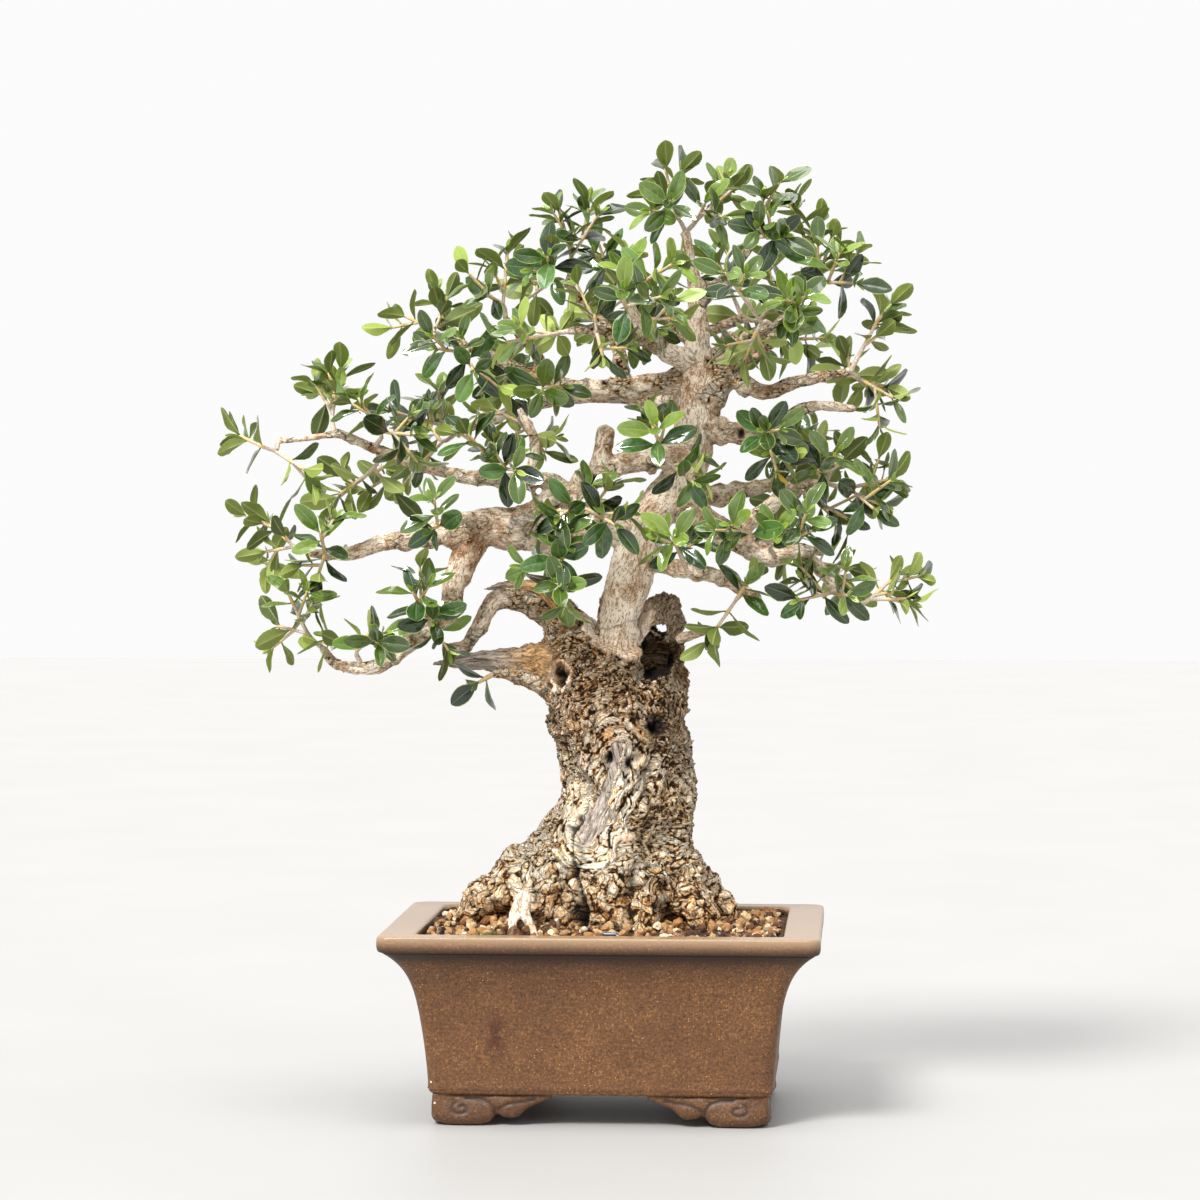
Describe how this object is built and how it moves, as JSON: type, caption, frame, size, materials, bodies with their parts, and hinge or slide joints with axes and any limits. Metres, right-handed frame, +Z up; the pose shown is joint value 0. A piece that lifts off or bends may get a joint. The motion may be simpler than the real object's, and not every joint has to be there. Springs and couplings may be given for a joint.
{
  "type": "olive bonsai",
  "caption": "Old olive bonsai with a fluted, half-dead trunk and open leafy crown, in a rectangular stoneware pot on cloud feet.",
  "frame": {"origin": "middle of the whole tree's footprint box, on the ground under the pot's feet", "axes": "+Z up, -Y towards the front of the tree, +X to the right as seen from the front"},
  "size_m": [0.3424, 0.1858, 0.4714],
  "materials": {
    "stoneware": "satin",
    "soil": "matte",
    "bark": "matte",
    "leaf": "satin",
    "wire": "satin",
    "screen": "matte"
  },
  "bodies": {
    "root": {"pot": "stoneware", "soil": "soil", "tree_wood": "bark", "tie_wire": "wire", "drain_screen_left": "screen", "drain_screen_right": "screen", "spray_01": "leaf", "spray_02": "leaf", "spray_03": "leaf", "spray_04": "leaf", "spray_05": "leaf", "spray_06": "leaf", "spray_07": "leaf", "spray_08": "leaf", "spray_09": "leaf", "spray_10": "leaf", "spray_11": "leaf", "spray_12": "leaf", "spray_13": "leaf", "spray_14": "leaf", "spray_15": "leaf", "spray_16": "leaf", "spray_17": "leaf", "spray_18": "leaf", "spray_19": "leaf", "spray_20": "leaf", "spray_21": "leaf", "spray_22": "leaf", "spray_23": "leaf", "spray_24": "leaf", "spray_25": "leaf", "spray_26": "leaf", "spray_27": "leaf", "spray_28": "leaf", "spray_29": "leaf", "spray_30": "leaf", "spray_31": "leaf", "spray_32": "leaf", "spray_33": "leaf", "spray_34": "leaf", "spray_35": "leaf", "spray_36": "leaf", "spray_37": "leaf", "spray_38": "leaf", "spray_39": "leaf", "spray_40": "leaf", "spray_41": "leaf", "spray_42": "leaf", "spray_43": "leaf", "spray_44": "leaf", "spray_45": "leaf", "spray_46": "leaf", "spray_47": "leaf", "spray_48": "leaf", "spray_49": "leaf", "spray_50": "leaf", "spray_51": "leaf", "spray_52": "leaf", "spray_53": "leaf"}
  },
  "joints": []
}
